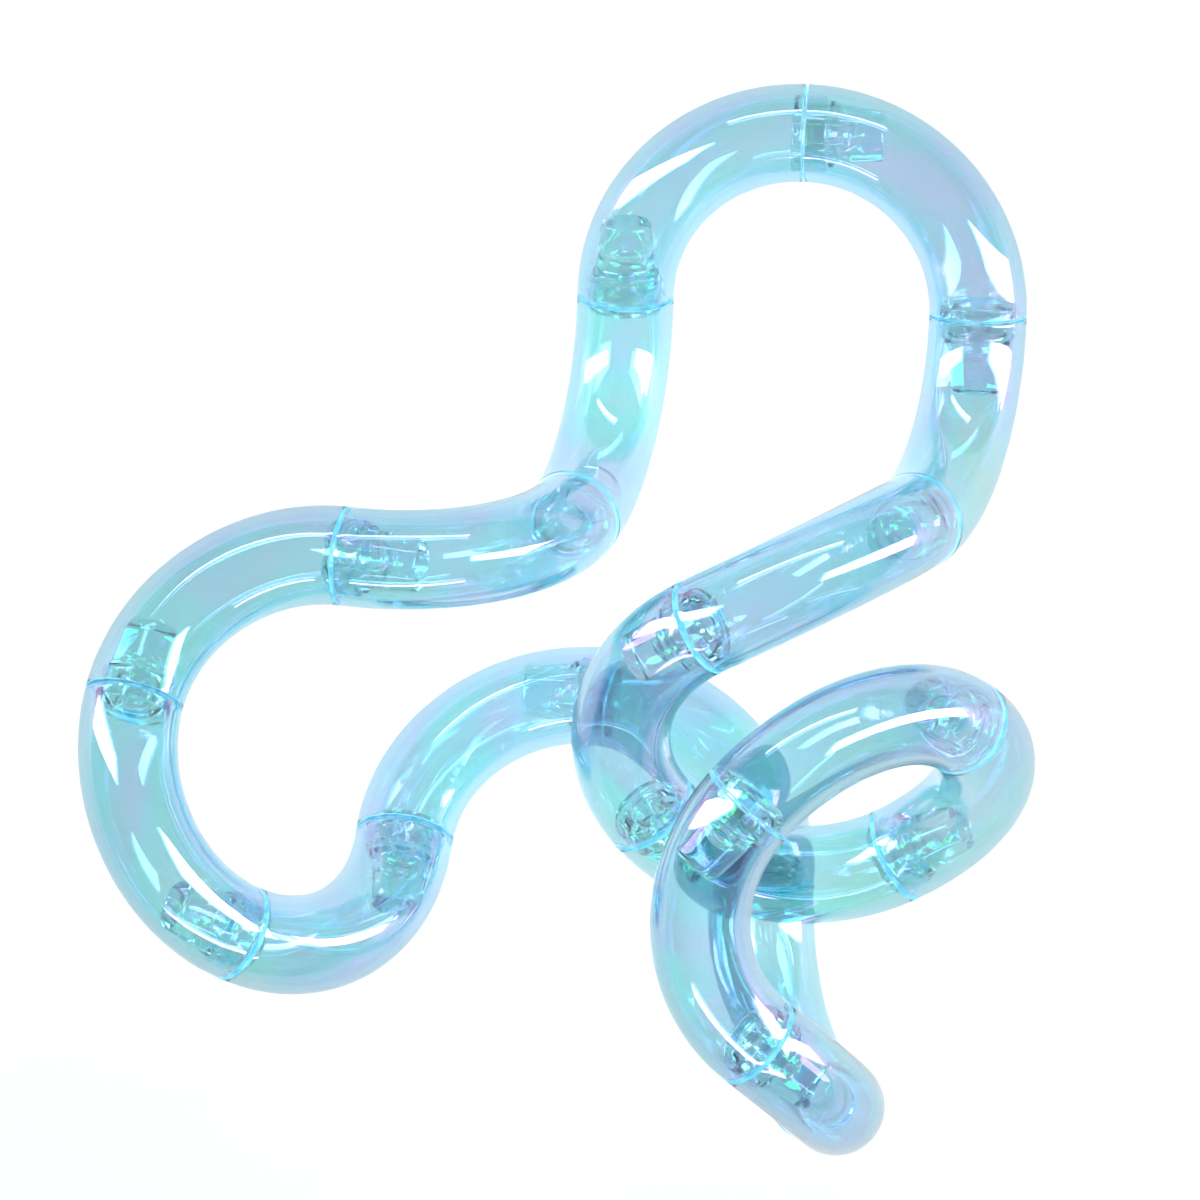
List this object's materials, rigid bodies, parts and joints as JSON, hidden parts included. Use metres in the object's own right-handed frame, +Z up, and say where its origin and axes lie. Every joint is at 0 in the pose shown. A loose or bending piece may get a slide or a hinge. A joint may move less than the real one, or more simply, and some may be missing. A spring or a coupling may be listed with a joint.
{
  "type": "twisty snake puzzle",
  "caption": "Ring of hollow quarter-bend tubes in clear blue iridescent plastic, each swivelling on the next by a snap pin, lying twisted into a loose tangle.",
  "frame": {"origin": "middle of the bounding box's bottom face, where the puzzle rests on a table", "axes": "+Z up, +Y along the longest side of the tangle, towards its round top loop, +X to the right when seen from above with +Y up the page"},
  "size_m": [0.1004, 0.1128, 0.0583],
  "materials": {
    "clear_tube": "clear light blue gloss with an iridescent skin",
    "clear_plug": "clear blue gloss",
    "clear_collar": "clear blue gloss"
  },
  "bodies": {
    "segment_01": {"tube_01": "clear_tube", "plug_01": "clear_plug", "collar_01": "clear_collar"},
    "segment_02": {"tube_02": "clear_tube", "plug_02": "clear_plug", "collar_02": "clear_collar"},
    "segment_03": {"tube_03": "clear_tube", "plug_03": "clear_plug", "collar_03": "clear_collar"},
    "segment_04": {"tube_04": "clear_tube", "plug_04": "clear_plug", "collar_04": "clear_collar"},
    "segment_05": {"tube_05": "clear_tube", "plug_05": "clear_plug", "collar_05": "clear_collar"},
    "segment_06": {"tube_06": "clear_tube", "plug_06": "clear_plug", "collar_06": "clear_collar"},
    "segment_07": {"tube_07": "clear_tube", "plug_07": "clear_plug", "collar_07": "clear_collar"},
    "segment_08": {"tube_08": "clear_tube", "plug_08": "clear_plug", "collar_08": "clear_collar"},
    "segment_09": {"tube_09": "clear_tube", "plug_09": "clear_plug", "collar_09": "clear_collar"},
    "segment_10": {"tube_10": "clear_tube", "plug_10": "clear_plug", "collar_10": "clear_collar"},
    "segment_11": {"tube_11": "clear_tube", "plug_11": "clear_plug", "collar_11": "clear_collar"},
    "segment_12": {"tube_12": "clear_tube", "plug_12": "clear_plug", "collar_12": "clear_collar"},
    "segment_13": {"tube_13": "clear_tube", "plug_13": "clear_plug", "collar_13": "clear_collar"},
    "segment_14": {"tube_14": "clear_tube", "plug_14": "clear_plug", "collar_14": "clear_collar"},
    "segment_15": {"tube_15": "clear_tube", "plug_15": "clear_plug", "collar_15": "clear_collar"},
    "segment_16": {"tube_16": "clear_tube", "plug_16": "clear_plug", "collar_16": "clear_collar"},
    "segment_17": {"tube_17": "clear_tube", "plug_17": "clear_plug", "collar_17": "clear_collar"},
    "segment_18": {"tube_18": "clear_tube", "plug_18": "clear_plug", "collar_18": "clear_collar"}
  },
  "joints": [
    {"name": "swivel_17_18", "type": "hinge", "parent": "segment_18", "child": "segment_17", "pos_m": [0.00584, 0.03304, 0.00598], "axis": [-0.0176, 0.9612, 0.2754], "range_deg": [-1, 23]},
    {"name": "swivel_16_17", "type": "hinge", "parent": "segment_17", "child": "segment_16", "pos_m": [0.00074, 0.00967, 0.01822], "axis": [0.2863, 0.2688, -0.9197], "range_deg": [0, 120]},
    {"name": "swivel_15_16", "type": "hinge", "parent": "segment_16", "child": "segment_15", "pos_m": [-0.0229, 0.00579, 0.03039], "axis": [0.958, -0.0649, 0.2792], "range_deg": [0, 25]},
    {"name": "swivel_14_15", "type": "hinge", "parent": "segment_15", "child": "segment_14", "pos_m": [-0.04461, -0.0098, 0.03318], "axis": [0.1842, 0.8857, -0.4261], "range_deg": [0, 305]},
    {"name": "swivel_13_14", "type": "hinge", "parent": "segment_14", "child": "segment_13", "pos_m": [-0.03301, -0.03403, 0.03243], "axis": [-0.7946, 0.3893, 0.4658], "range_deg": [0, 255]},
    {"name": "swivel_12_13", "type": "hinge", "parent": "segment_13", "child": "segment_12", "pos_m": [-0.01609, -0.0255, 0.01337], "axis": [-0.0956, -0.838, 0.5373], "range_deg": [-180, 0]},
    {"name": "swivel_11_12", "type": "hinge", "parent": "segment_12", "child": "segment_11", "pos_m": [0.00457, -0.01025, 0.00547], "axis": [-0.9919, 0.0352, -0.1217], "range_deg": [-190, 0]},
    {"name": "swivel_10_11", "type": "hinge", "parent": "segment_11", "child": "segment_10", "pos_m": [0.02304, -0.02976, 0.00537], "axis": [0.0197, 0.9917, 0.1267], "continuous": true},
    {"name": "swivel_18_01", "type": "hinge", "parent": "segment_18", "child": "segment_01", "pos_m": [0.02444, 0.05119, 0.01279], "axis": [0.9965, -0.0055, 0.0828], "range_deg": [-310, 0]},
    {"name": "swivel_01_02", "type": "hinge", "parent": "segment_01", "child": "segment_02", "pos_m": [0.04349, 0.03227, 0.01175], "axis": [0.0059, -0.9905, -0.1372], "range_deg": [-240, 0]},
    {"name": "swivel_02_03", "type": "hinge", "parent": "segment_02", "child": "segment_03", "pos_m": [0.03685, 0.01097, 0.02673], "axis": [-0.3556, -0.1303, 0.9255], "range_deg": [0, 230]},
    {"name": "swivel_03_04", "type": "hinge", "parent": "segment_03", "child": "segment_04", "pos_m": [0.01461, 0.00009, 0.03719], "axis": [-0.8146, -0.4423, -0.3752], "range_deg": [0, 165]},
    {"name": "swivel_04_05", "type": "hinge", "parent": "segment_04", "child": "segment_05", "pos_m": [0.01012, -0.02108, 0.02126], "axis": [0.5781, -0.6718, -0.463], "range_deg": [-4, 4]},
    {"name": "swivel_05_06", "type": "hinge", "parent": "segment_05", "child": "segment_06", "pos_m": [0.03661, -0.025, 0.01899], "axis": [0.8158, 0.4652, 0.3435], "range_deg": [-10, 3]},
    {"name": "swivel_06_07", "type": "hinge", "parent": "segment_06", "child": "segment_07", "pos_m": [0.04203, -0.00922, 0.04005], "axis": [-0.5305, 0.3656, 0.7648], "range_deg": [0, 200]},
    {"name": "swivel_07_08", "type": "hinge", "parent": "segment_07", "child": "segment_08", "pos_m": [0.01977, -0.01678, 0.05307], "axis": [-0.6409, -0.7635, -0.0796], "range_deg": [0, 260]},
    {"name": "swivel_08_09", "type": "hinge", "parent": "segment_08", "child": "segment_09", "pos_m": [0.02158, -0.04234, 0.04497], "axis": [0.736, -0.5817, -0.3463], "continuous": true}
  ]
}
